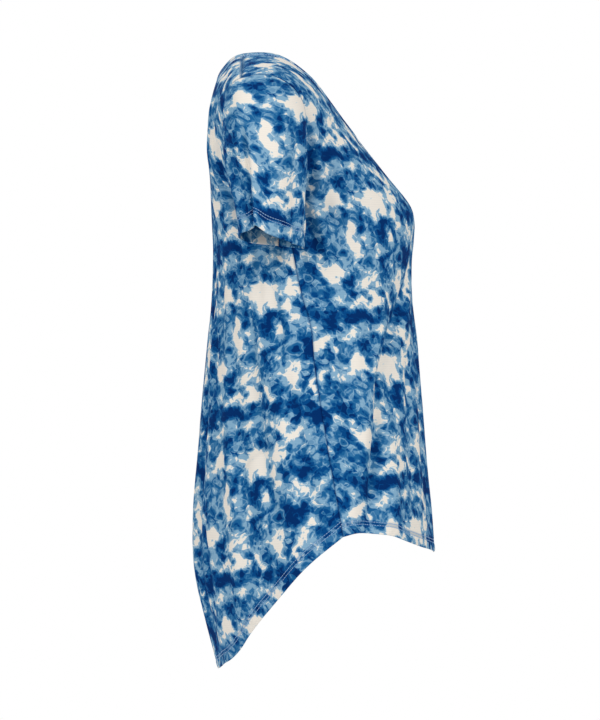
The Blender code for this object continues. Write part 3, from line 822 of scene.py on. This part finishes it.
def half_panel(panel, side):
    """Outer face of a half panel as rows of points, with its print places and the painted shade of its
    seams.
    """
    hem = HEMS[panel]
    across, run, hem_run, slant = panel_grid(panel)
    flat = smooth_form(across, run)
    from_hem = np.where(np.abs(run) > UNDERARM, (hem_run - np.abs(run)) / slant, FAR)
    along = distances(flat, 1)
    relief, hem_shade = hem_relief(along, from_hem, hem)
    neck = smooth_form(*neck_line(NECK_SEAM, panel, NECK_SEAM_STEPS))
    from_neck = np.full(across.shape, FAR)
    gaps = flat[:YOKE_STEPS, :, None, :] - neck[None, None, :, :]
    from_neck[:YOKE_STEPS] = np.linalg.norm(gaps, axis=-1).min(axis=-1)
    neck_depth, neck_shade = channel(from_neck, HEMS["neck"]["needles"])
    from_side = distances(flat[:, ::-1], 1)[:, ::-1]
    from_shoulder = distances(flat, 0)
    seam = np.maximum(near(from_side, SEAM_WIDTH), near(from_shoulder, SEAM_WIDTH))
    lift = relief + neck_depth - NECK_GROOVE * near(from_neck, CHANNEL_WIDTH) - SEAM_DEPTH * seam
    shade = HEM_SHADE * np.maximum(hem_shade, neck_shade)
    for line in (near(from_side, SEAM_LINE), SHOULDER_SHADE * near(from_shoulder, SEAM_LINE),
                 near(from_neck, SEAM_LINE)):
        shade = np.maximum(shade, line)
    points = form_point(across, run, side, lift)
    u, v = print_places(across, run, side)
    patch = {"points": points, "u": u, "v": v, "shade": shade}

    def at(distance):
        return across[-1], WAYS[panel] * (hem_run - distance * slant), side

    def above(distance):
        return form_point(*at(distance), hem_relief(along[-1], distance, hem)[0])

    def inward(distance):
        return -form_normal(*at(distance))

    return with_turning(patch, turned_rows(points[-1], above, inward, hem["turned"]))


def sleeve_depth(around, down, side):
    """How far the sleeve's folds and creases stand out."""
    total = np.zeros(np.broadcast(around, down).shape)
    for place, width, depth in SLEEVE_FOLDS[side]:
        total += depth * bell((around - place) / width) * ease(1 - SLEEVE_FOLD_RISE * (1 - down))
    for path, width, depth in SLEEVE_CREASES[side]:
        path = [(place, way * SLEEVE_LENGTH) for place, way in path]
        total += path_depth(around * SLEEVE_RING, down * SLEEVE_LENGTH, path, SLEEVE_RING, width, depth)
    return total


def sleeve(side):
    """Outer face of a sleeve, from the armhole to its hem and turning, and its needle lines."""
    hem = HEMS["sleeve"]
    runs = np.concatenate([armhole_runs("front")[::-1], armhole_runs("back")[1:]])
    around = np.linspace(0, 1, len(runs))
    start = form_point(np.ones(len(runs)), runs, side) * flip(side)
    sewn = form_point(np.ones(len(runs)), runs, side, -SEAM_DEPTH) * flip(side)
    end = sleeve_hem(around)
    bow = np.cos(2 * math.pi * around)
    height = 0.5 - 0.5 * bow
    dip = np.radians(SLEEVE_DIP_UNDERARM + (SLEEVE_DIP_TOP - SLEEVE_DIP_UNDERARM) * height)
    sway = SLEEVE_SWAY * np.sin(2 * math.pi * around)
    length = np.linalg.norm(end - start, axis=1)[:, None] * SLEEVE_REACH
    leave = unit(np.stack([np.cos(dip), sway, -np.sin(dip)], axis=1)) * length
    arrive = np.array(SLEEVE_HANG) * length

    def creased_row(way):
        row = ((start * (1 + 2 * way) + leave * way) * (1 - way) ** 2
               + (end * (3 - 2 * way) - arrive * (1 - way)) * way ** 2)
        outward = unit((row - row.mean(axis=0)) * np.array([1, 1, 0]))
        return row + outward * sleeve_depth(around, way[:, 0], side)[:, None], outward

    rest = 1 - hem_rows(hem)[:, None, None] / length
    beside_seam = SLEEVE_TOP[:, None, None] * np.ones_like(length)
    plain = np.linspace(beside_seam[-1], rest[0], SLEEVE_STEPS)[1:-1]
    ways = np.concatenate([beside_seam, plain, rest])
    creased, outward = (np.array(part) for part in zip(*[creased_row(way) for way in ways]))
    along = distances(creased, 1)
    relief, hem_shade = hem_relief(along, ((1 - ways) * length)[..., 0], hem)
    from_seam = distances(creased, 0)
    points = creased + outward * relief[..., None]
    points = points + (sewn - start)[None] * near(from_seam, SEAM_WIDTH)[..., None]
    shade = np.maximum(HEM_SHADE * hem_shade, near(from_seam, SEAM_LINE))
    u = side * (around - 0.5)[None, :] * SLEEVE_RING * np.ones(len(ways))[:, None]
    v = from_seam - from_seam[-1:] + SLEEVE_PRINT_BOW * bow[None, :]
    patch = {"points": points * flip(side), "u": u, "v": v, "shade": shade}

    def above(distance):
        row, direction = creased_row(1 - distance / length)
        return (row + direction * hem_relief(along[-1], distance, hem)[0][:, None]) * flip(side)

    def inward(distance):
        row = above(distance)
        along_row = np.gradient(row, axis=0)
        along_row[[0, -1]] = along_row[0] + along_row[-1]
        square = unit(np.cross(along_row, above(distance + 0.001) - row))
        return -square * np.sign((square * outward[-1] * flip(side)).sum())

    patch = with_turning(patch, turned_rows(patch["points"][-1], above, inward, hem["turned"]))
    lines = []
    for needle in hem["needles"]:
        row, direction = creased_row(1 - needle / length)
        lines.append(((row - direction * CHANNEL_DEPTH) * flip(side), direction * flip(side)))
    return patch, lines


HALF_NECK_FRONT = distances(smooth_form(*neck_line(NECK_SEAM, "front", HALF_NECK_STEPS)), 0)[-1]


def neck_strip(panel, side):
    """Outer face of the neckband on one half panel, rolled over its free edge and down inside."""
    seam = np.array(neck_line(NECK_SEAM, panel, NECK_STEPS[panel]))
    edge = np.array(neck_line(NECK_EDGE, panel, NECK_STEPS[panel]))

    def band_row(way, lift=0.0):
        return form_point(*(seam + (edge - seam) * way), side, lift)

    swell = BAND_SWELL * np.sin(math.pi * np.minimum(BAND_SWELL_RISE * BAND_ROWS, 1))
    lifts = swell - NECK_GROOVE * near(BAND_ROWS, BAND_GROOVE_WIDTH)
    points = np.array([band_row(way, lift) for way, lift in zip(BAND_ROWS, lifts)])
    turned = rolled(points[-1], -form_normal(*edge, side), unit(points[-1] - points[-3]))
    for way in BAND_TURNED:
        outward = form_normal(*(seam + (edge - seam) * way), side)
        turned.append(band_row(way) - outward * 2 * TURN_RADIUS)
    v = distances(points, 0)
    along = distances(points[:1], 1)
    along = along[:, -1:] - along if panel == "front" else along + HALF_NECK_FRONT
    u = side * along * np.ones(len(points))[:, None]
    shade = BAND_SHADE * near(v, SEAM_LINE)
    return with_turning({"points": points, "u": u, "v": v, "shade": shade}, turned)


def needle_line(across, run, side):
    """A line at the bottom of its channel, and the directions that lead out of the cloth."""
    return form_point(across, run, side, -CHANNEL_DEPTH), form_normal(across, run, side)


def hem_needle_lines(panel):
    """The needle lines above a panel's hem, from side seam to side seam."""
    share = np.linspace(0, 1, HEM_LINE_STEPS)
    hem_run, slant = hem_edge(panel, share)
    lines = []
    for needle in HEMS[panel]["needles"]:
        run = WAYS[panel] * (hem_run - needle * slant)
        halves = [needle_line(share, run, side) for side in SIDES]
        lines.append(tuple(np.concatenate([right[::-1], left[1:]]) for right, left in zip(*halves)))
    return lines


def neck_needle_lines():
    """The needle lines on the body beside the neckband."""
    lines = []
    for needle in HEMS["neck"]["needles"]:
        oval = {key: value + needle for key, value in NECK_SEAM.items()}
        for panel in WAYS:
            across, run = neck_line(oval, panel, NECK_LINE_STEPS)
            lines += [needle_line(across, run, side) for side in SIDES]
    return lines


def swayed(table, turn_u, turn_v):
    """How far the print is moved at a place, which is given in turns of the repeat, in radians."""
    return sum(reach * np.sin(across * turn_u + down * turn_v + start)
               for reach, across, down, start in table)


def dye_strength(u, v):
    """How pale the print is at a place on the cloth: 0 in the deepest blue, 1 on the bare cloth."""
    total = np.full(u.shape, GROUND)
    turns = (2 * math.pi * u / REPEAT_ACROSS, 2 * math.pi * v / REPEAT)
    u = u + swayed(SWAY_ACROSS, *turns)
    v = v + swayed(SWAY_DOWN, *turns)
    for across, down, half_width, half_height, lean, lift in BLOTS:
        off_u = (u - across + 0.5 * REPEAT_ACROSS) % REPEAT_ACROSS - 0.5 * REPEAT_ACROSS
        off_v = (v - down + 0.5 * REPEAT) % REPEAT - 0.5 * REPEAT
        angle = math.radians(lean)
        along = (off_u * math.cos(angle) + off_v * math.sin(angle)) / half_width
        over = (off_v * math.cos(angle) - off_u * math.sin(angle)) / half_height
        total += BLOT_STRENGTH * lift * np.exp(-BLOT_STEEPNESS * (along ** 2 + over ** 2))
    return total


def finished(mesh, name, *materials):
    """Make a bmesh an object of the scene."""
    data = bpy.data.meshes.new(name)
    mesh.to_mesh(data)
    mesh.free()
    for material in materials:
        data.materials.append(material)
    piece = bpy.data.objects.new(name, data)
    bpy.context.scene.collection.objects.link(piece)
    return piece


def jersey_shell(node, patches, inside, *materials):
    """One shell from patches: a flat grid for each, carried to its place, joined and given a wall.

    inside: a point x, f, z in the hollow, which the right side faces away from.
    """
    mesh = bmesh.new()
    places = mesh.loops.layers.uv.new("cloth")
    # seam_shade holds the painted shade of the seams and needle channels, where shadow falls.
    shades = mesh.verts.layers.float.new("seam_shade")
    dyes = mesh.verts.layers.float.new("dye")
    middle = Vector((inside[0], -inside[1], inside[2]))
    cut_u, cut_v = CUT_FROM[node]
    for patch in patches:
        rows, columns = patch["points"].shape[:2]
        u = patch["u"] + cut_u
        v = patch["v"] + cut_v
        pale = dye_strength(u, v)
        grid = bmesh.ops.create_grid(mesh, x_segments=columns - 1, y_segments=rows - 1, size=1.0)["verts"]
        faces = {face for vert in grid for face in vert.link_faces}
        spots = {vert: (round((vert.co.y + 1) / 2 * (rows - 1)), round((vert.co.x + 1) / 2 * (columns - 1)))
                 for vert in grid}
        for vert, spot in spots.items():
            x, f, z = patch["points"][spot]
            vert.co = (x, -f, z)
            vert[shades] = float(patch["shade"][spot])
            vert[dyes] = float(pale[spot])
        facing = 0.0
        for face in faces:
            face.smooth = True
            face.normal_update()
            for loop in face.loops:
                spot = spots[loop.vert]
                loop[places].uv = (u[spot], v[spot])
            if spots[face.verts[0]][0] < rows * OUTSIDE_SHARE:
                facing += face.normal.dot(face.calc_center_median() - middle)
        if facing < 0:
            bmesh.ops.reverse_faces(mesh, faces=list(faces))
    bmesh.ops.remove_doubles(mesh, verts=mesh.verts, dist=WELD)
    piece = finished(mesh, node + "_jersey", *materials)
    wall = piece.modifiers.new("wall", "SOLIDIFY")
    wall.thickness = JERSEY
    wall.offset = -1.0
    wall.material_offset = 1
    return piece


def stitching(name, lines, material):
    """Rows of thread stitches along lines, each stitch a slim oval bar half sunk in the cloth."""
    bar = bmesh.new()
    bmesh.ops.create_uvsphere(bar, u_segments=6, v_segments=4, radius=THREAD_RADIUS)
    bmesh.ops.scale(bar, vec=(1, 1, STITCH_LENGTH / 2 / THREAD_RADIUS), verts=bar.verts)
    for face in bar.faces:
        face.smooth = True
    one_stitch = bpy.data.meshes.new("one_stitch")
    bar.to_mesh(one_stitch)
    bar.free()
    mesh = bmesh.new()
    pitch = STITCH_LENGTH + STITCH_GAP
    for points, normals in lines:
        places = points * np.array([1.0, -1.0, 1.0])
        lifts = normals * np.array([1.0, -1.0, 1.0])
        distance = distances(places, 0)

        def at(spot, values):
            return Vector([np.interp(spot * pitch, distance, values[:, axis]) for axis in range(3)])

        for number in range(int(distance[-1] / pitch)):
            first, last = (at(number + end, places) for end in STITCH_ENDS)
            turn = Vector((0, 0, 1)).rotation_difference(last - first).to_matrix()
            middle = (first + last) / 2 + at(number + 0.5, lifts) * THREAD_RADIUS * STITCH_LIFT
            made = len(mesh.verts)
            mesh.from_mesh(one_stitch)
            mesh.verts.ensure_lookup_table()
            for vert in mesh.verts[made:]:
                vert.co = turn @ vert.co + middle
    bpy.data.meshes.remove(one_stitch)
    return finished(mesh, name, material)


# Materials


def opaque(colour):
    return colour + (1.0,)


class Bench:
    """Lays out the nodes of a tree."""

    def __init__(self, tree):
        self.tree = tree

    def put(self, socket, value):
        """Link an input to an output, or set it."""
        if isinstance(value, bpy.types.NodeSocket):
            self.tree.links.new(value, socket)
        else:
            socket.default_value = value

    def node(self, kind, inputs=(), **settings):
        """Make a node with its settings and inputs, and return its outputs."""
        node = self.tree.nodes.new("ShaderNode" + kind)
        for name, value in settings.items():
            setattr(node, name, value)
        for name, value in dict(inputs).items():
            self.put(node.inputs[name], value)
        return node.outputs

    def surface(self, inputs):
        """Finish a material with a shader."""
        shader = self.node("BsdfPrincipled", inputs)
        self.node("OutputMaterial", {"Surface": shader["BSDF"]})

    def math(self, operation, *values):
        return self.node("Math", enumerate(values), operation=operation)[0]

    def centred(self, value, amount):
        """A value from 0 to 1, made to lie around 0 and as wide as the amount."""
        return self.math("MULTIPLY_ADD", value, amount, -0.5 * amount)

    def wave(self, value, turns, start=0.0):
        return self.math("SINE", self.math("MULTIPLY_ADD", value, turns, start))

    def noise(self, place, scale, detail, roughness, distortion, output="Fac"):
        return self.node("TexNoise", {"Vector": place, "Scale": scale, "Detail": detail,
                                      "Roughness": roughness, "Distortion": distortion})[output]

    def shaken(self, place, scale, reach):
        """The place, moved about by up to half the reach."""
        shift = self.noise(place, scale, 0.0, 0.5, 0.0, "Color")
        inputs = {0: shift, 1: (reach, reach, reach), 2: place}
        return self.node("VectorMath", inputs, operation="MULTIPLY_ADD")["Vector"]

    def patches(self, place, scale):
        """Flat patches: a tone of each, and the thin rim between them."""
        inputs = {"Vector": place, "Scale": scale}
        tones = self.node("TexVoronoi", inputs)["Color"]
        rims = self.node("TexVoronoi", inputs, feature="DISTANCE_TO_EDGE")["Distance"]
        tone = self.node("SeparateColor", {"Color": tones})["Red"]
        return tone, self.math("LESS_THAN", rims, PATCH_RIM)

    def wrapped(self, value, start, period):
        """The distance from a start to the nearest repeat of it."""
        return self.math("WRAP", self.math("SUBTRACT", value, start), period / 2, -period / 2)

    def length(self, vector):
        return self.node("VectorMath", {0: vector}, operation="LENGTH")["Value"]

    def eye_reach(self, across, down):
        """Distance from the nearest eye's middle, in its radii."""
        nearest = NO_EYE
        for place_across, place_down, radius in EYES:
            off = self.node("CombineXYZ", {"X": self.wrapped(across, place_across, REPEAT_ACROSS),
                                           "Y": self.wrapped(down, place_down, REPEAT)})["Vector"]
            nearest = self.math("MINIMUM", nearest, self.math("DIVIDE", self.length(off), radius))
        return nearest

    def ramp(self, value, stops):
        """A colour read from stops (position, colour)."""
        node = self.tree.nodes.new("ShaderNodeValToRGB")
        elements = node.color_ramp.elements
        while len(elements) > 1:
            elements.remove(elements[0])
        elements[0].position, elements[0].color = stops[0]
        for position, colour in stops[1:]:
            elements.new(position).color = colour
        self.put(node.inputs["Fac"], value)
        return node.outputs["Color"]

    def curve(self, value, stops):
        """A number read from stops (position, number)."""
        return self.ramp(value, [(position, opaque((tone,) * 3)) for position, tone in stops])

    def mix(self, share, first, second, kind="RGBA", blend="MIX"):
        inputs = {"Factor": share, "A": first, "B": second}
        return self.node("Mix", inputs, data_type=kind, blend_type=blend)["Result"]

    def attribute(self, name):
        return self.node("Attribute", attribute_name=name)["Fac"]

    def bump(self, height, strength, distance):
        return self.node("Bump", {"Height": height, "Strength": strength, "Distance": distance})["Normal"]


def new_material(name):
    """A material, and the bench for its nodes."""
    material = bpy.data.materials.new(name)
    material.use_nodes = True
    material.node_tree.nodes.clear()
    return material, Bench(material.node_tree)


def cloth_places(bench):
    """The places across and down the cloth, and one wrapped so that the noises repeat with the print."""
    uv = bench.node("UVMap", uv_map="cloth")["UV"]
    parts = bench.node("SeparateXYZ", {"Vector": uv})
    turn = bench.math("MULTIPLY", parts["Y"], 2 * math.pi / REPEAT)
    drum = REPEAT / (2 * math.pi)
    wrapped = bench.node("CombineXYZ", {
        "X": bench.math("ADD", parts["X"], NOISE_SHIFT),
        "Y": bench.math("MULTIPLY", bench.math("COSINE", turn), drum),
        "Z": bench.math("MULTIPLY", bench.math("SINE", turn), drum),
    })
    return parts["X"], parts["Y"], wrapped["Vector"]


def dye_stops():
    """The dyes in flat steps, each with a narrow bleed into the next."""
    colours = [opaque(dye) for dye in DYES.values()]
    stops = [(0.0, colours[0])]
    for edge, colour, next_colour in zip(DYE_STEPS, colours, colours[1:]):
        stops += [(edge - DYE_BLEED, colour), (edge + DYE_BLEED, next_colour)]
    return stops


def jersey_material(name, pale):
    """Printed jersey. pale: how far the dye fails to reach this face, 0 on the right side."""
    material, bench = new_material(name)
    across, down, place = cloth_places(bench)

    # The print: charted blots, broken up by swirls, ragged edges and flat patches, with round eyes.
    swirl = bench.noise(place, *SWIRLS)
    ragged = bench.noise(place, *RAGS)
    specks = bench.noise(place, *SPECKS)
    tone, rim = bench.patches(bench.shaken(place, *PATCH_SHAKE), 1 / PATCH_SIZE)
    level = bench.attribute("dye")
    for part, amount in zip((swirl, ragged, specks, tone), BREAK_UP):
        level = bench.math("ADD", level, bench.centred(part, amount))
    level = bench.math("MULTIPLY_ADD", bench.wave(ragged, OUTLINE_TURNS), OUTLINE_LIFT, level)
    level = bench.math("MULTIPLY_ADD", rim, RIM_LIFT, level)
    reach = bench.math("ADD", bench.eye_reach(across, down), bench.centred(ragged, EYE_RAGS))
    level = bench.mix(bench.curve(reach, EYE_COVER), level, bench.curve(reach, EYE_TONES), "FLOAT")
    colour = bench.ramp(level, dye_stops())

    # The dye takes a little unevenly, and the wrong side stays pale.
    uneven = bench.math("MULTIPLY", bench.noise(place, *UNEVEN), UNEVEN_SHARE)
    colour = bench.mix(uneven, colour, opaque(DYES["sky"]))
    slub = bench.wave(down, 2 * math.pi / SLUB, bench.math("MULTIPLY", swirl, SLUB_SWAY))
    colour = bench.mix(bench.math("MULTIPLY_ADD", slub, 0.5, 0.5), colour, opaque(SLUB_TINT),
                       blend="MULTIPLY")
    if pale:
        colour = bench.mix(pale, colour, opaque(WRONG_SIDE))
    # Painted shade: the seam_shade attribute darkens the colour in the needle channels and along the seams,
    # where shadow falls.
    shade = bench.math("MULTIPLY", bench.attribute("seam_shade"), SEAM_SHADOW_DARKNESS)
    colour = bench.mix(shade, colour, opaque(SEAM_SHADOW_TINT), blend="MULTIPLY")

    # Fine ribs of the knit, and its fuzz.
    wale = bench.wave(across, 2 * math.pi / WALE)
    course = bench.wave(down, 2 * math.pi / COURSE)
    knit = bench.math("MULTIPLY_ADD", bench.math("MULTIPLY", wale, course), COURSE_SHARE, wale)
    height = bench.math("MULTIPLY_ADD", knit, 0.5, bench.noise(place, *FUZZ))
    bench.surface({"Base Color": colour, "Normal": bench.bump(height, *KNIT_BUMP), **KNIT_SURFACE})
    return material


def thread_material():
    material, bench = new_material("thread")
    ply = bench.noise(bench.node("TexCoord")["Object"], *PLY)
    colour = bench.mix(ply, opaque(THREAD), opaque(THREAD_SHADED))
    bench.surface({"Base Color": colour, "Normal": bench.bump(ply, *THREAD_BUMP),
                   "Roughness": THREAD_ROUGHNESS})
    return material


# The pieces

jersey = jersey_material("printed_jersey", 0.0)
wrong_side = jersey_material("jersey_wrong_side", WRONG_SIDE_SHARE)
thread = thread_material()

right_sleeve, right_lines = sleeve(-1)
left_sleeve, left_lines = sleeve(1)
# Columns: node, patches, a point x, f, z inside, and the stitching and its lines.
PIECES = (
    ("front", [half_panel("front", side) for side in SIDES], (0.0, 0.075, -0.35),
     "front_hem_stitching", hem_needle_lines("front")),
    ("back", [half_panel("back", side) for side in SIDES], (0.0, 0.075, -0.35),
     "back_hem_stitching", hem_needle_lines("back")),
    ("sleeve_right", [right_sleeve], (-0.185, 0.025, -0.17), "right_sleeve_stitching", right_lines),
    ("sleeve_left", [left_sleeve], (0.185, 0.025, -0.17), "left_sleeve_stitching", left_lines),
    ("neckband", [neck_strip(panel, side) for panel in WAYS for side in SIDES], (0.0, 0.030, -0.10),
     "neck_stitching", neck_needle_lines()),
)
for node, patches, inside, sewn_name, lines in PIECES:
    shell = jersey_shell(node, patches, inside, jersey, wrong_side)
    sewn = stitching(sewn_name, lines, thread)
    for piece in (shell, sewn):
        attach(piece, "root")
    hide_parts(node)

# Floor, light and camera


def studio_floor():
    """A pale floor below the tee, which fades out around it."""
    mesh = bmesh.new()
    bmesh.ops.create_circle(mesh, cap_ends=True, segments=96, radius=FLOOR_REACH)
    bmesh.ops.translate(mesh, vec=(0, 0, FLOOR_Z), verts=mesh.verts)
    material, bench = new_material("floor_paint")
    place = bench.node("TexCoord")["Object"]
    flat = bench.node("VectorMath", {0: place, 1: (1.0, 1.0, 0.0)}, operation="MULTIPLY")["Vector"]
    fade = {"Value": bench.length(flat), "From Min": FLOOR_CLEAR, "From Max": FLOOR_REACH,
            "To Min": 1.0, "To Max": 0.0}
    share = bench.node("MapRange", fade, interpolation_type="SMOOTHSTEP")["Result"]
    bench.surface({"Base Color": opaque(FLOOR_PAINT), "Roughness": FLOOR_ROUGHNESS, "Alpha": share})
    finished(mesh, "floor", material)


def aimed(name, data, place, direction):
    """Put a light or the camera at its place, looking in a direction."""
    thing = bpy.data.objects.new(name, data)
    thing.location = place
    thing.rotation_mode = "QUATERNION"
    thing.rotation_quaternion = Vector(direction).to_track_quat("-Z", "Y")
    bpy.context.scene.collection.objects.link(thing)
    return thing


studio_floor()
for name, place, size, power in LIGHTS:
    light = bpy.data.lights.new(name, "AREA")
    light.shape = "DISK"
    light.size = size
    light.energy = power
    aimed(name, light, place, Vector(LIGHT_AIM) - Vector(place))
world = bpy.data.worlds.new("studio")
world.use_nodes = True
bench = Bench(world.node_tree)
seen = bench.node("LightPath")["Is Camera Ray"]
sky = world.node_tree.nodes["Background"]
sky.inputs["Color"].default_value = (1.0, 1.0, 1.0, 1.0)
bench.put(sky.inputs["Strength"], bench.math("MULTIPLY_ADD", seen, 1.0 - ROOM_LIGHT, ROOM_LIGHT))
bpy.context.scene.world = world
bpy.context.scene.view_settings.view_transform = "Standard"

camera = bpy.data.cameras.new("camera")
camera.sensor_width = CAMERA_SENSOR
camera.lens = CAMERA_LENS
bpy.context.scene.camera = aimed("camera", camera, CAMERA_PLACE, (1, 0, 0))
